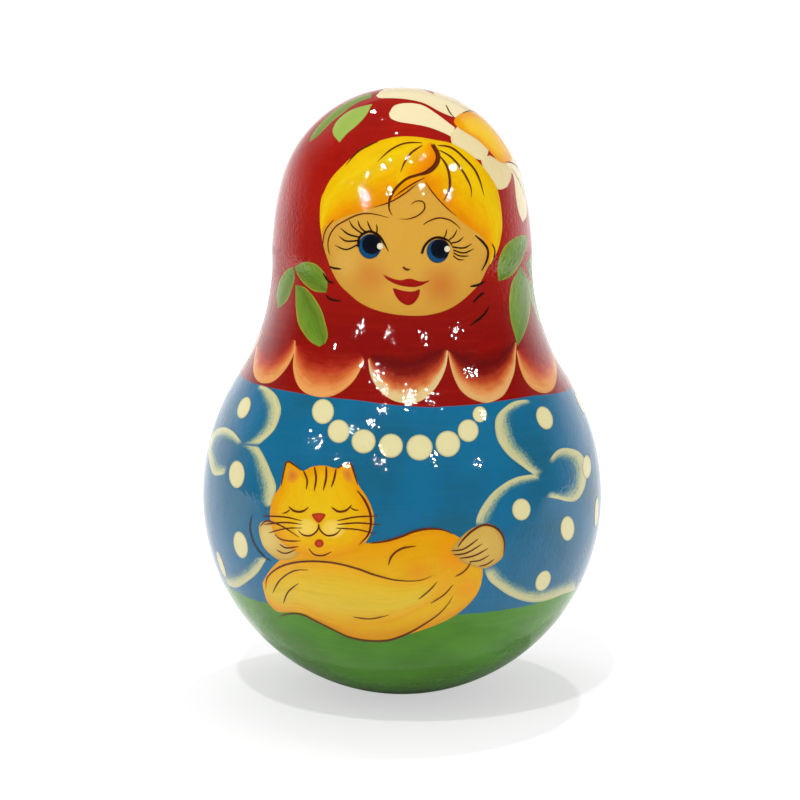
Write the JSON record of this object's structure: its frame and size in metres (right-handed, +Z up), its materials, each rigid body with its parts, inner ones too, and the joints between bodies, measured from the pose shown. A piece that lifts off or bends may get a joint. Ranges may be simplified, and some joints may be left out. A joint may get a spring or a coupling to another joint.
{
  "type": "roly-poly doll",
  "caption": "Round-bottomed wooden doll in nesting-doll dress that rocks upright, with a lift-off upper half, an iron ballast and a chime of rods and hammers inside.",
  "frame": {"origin": "middle of the small flat foot, where the doll stands", "axes": "+Z up along the doll's turning axis, the face looks along -Y, +X to the right of the picture"},
  "size_m": [0.092, 0.092, 0.139],
  "materials": {
    "blue_lacquered_wood": "hand-painted blue and green under a thick gloss lacquer",
    "red_lacquered_wood": "hand-painted red under a thick gloss lacquer",
    "cast_iron": "rough turned",
    "steel": "drawn and machined",
    "brass": "turned"
  },
  "bodies": {
    "lower": {"lower_shell": "blue_lacquered_wood", "ballast": "cast_iron", "chime_plate": "steel", "centre_post": "steel", "hammer_carrier": "steel", "carrier_washer": "steel", "carrier_nut": "steel", "base_screw_1": "steel", "base_screw_2": "steel", "base_screw_3": "steel", "chime_rod_1": "steel", "chime_rod_2": "steel", "chime_rod_3": "steel", "chime_rod_4": "steel", "chime_rod_5": "steel", "chime_rod_6": "steel", "chime_rod_7": "steel", "chime_rod_8": "steel", "hammer_pin_1": "steel", "hammer_pin_2": "steel", "hammer_pin_3": "steel", "hammer_pin_4": "steel"},
    "upper": {"upper_shell": "red_lacquered_wood"},
    "hammer_1": {"hammer_wire_1": "steel", "hammer_head_1": "brass"},
    "hammer_2": {"hammer_wire_2": "steel", "hammer_head_2": "brass"},
    "hammer_3": {"hammer_wire_3": "steel", "hammer_head_3": "brass"},
    "hammer_4": {"hammer_wire_4": "steel", "hammer_head_4": "brass"}
  },
  "joints": [
    {"name": "upper_lift", "type": "slide", "parent": "lower", "child": "upper", "axis": [0, 0, 1], "range_m": [0, 0.06]},
    {"name": "hammer_swing_1", "type": "hinge", "parent": "lower", "child": "hammer_1", "pos_m": [0.00636, 0.00636, 0.082], "axis": [0.7071, -0.7071, 0], "range_deg": [-3.5, 15]},
    {"name": "hammer_swing_2", "type": "hinge", "parent": "lower", "child": "hammer_2", "pos_m": [-0.00636, 0.00636, 0.082], "axis": [0.7071, 0.7071, 0], "range_deg": [-3.5, 15]},
    {"name": "hammer_swing_3", "type": "hinge", "parent": "lower", "child": "hammer_3", "pos_m": [-0.00636, -0.00636, 0.082], "axis": [-0.7071, 0.7071, 0], "range_deg": [-3.5, 15]},
    {"name": "hammer_swing_4", "type": "hinge", "parent": "lower", "child": "hammer_4", "pos_m": [0.00636, -0.00636, 0.082], "axis": [-0.7071, -0.7071, 0], "range_deg": [-3.5, 15]}
  ]
}
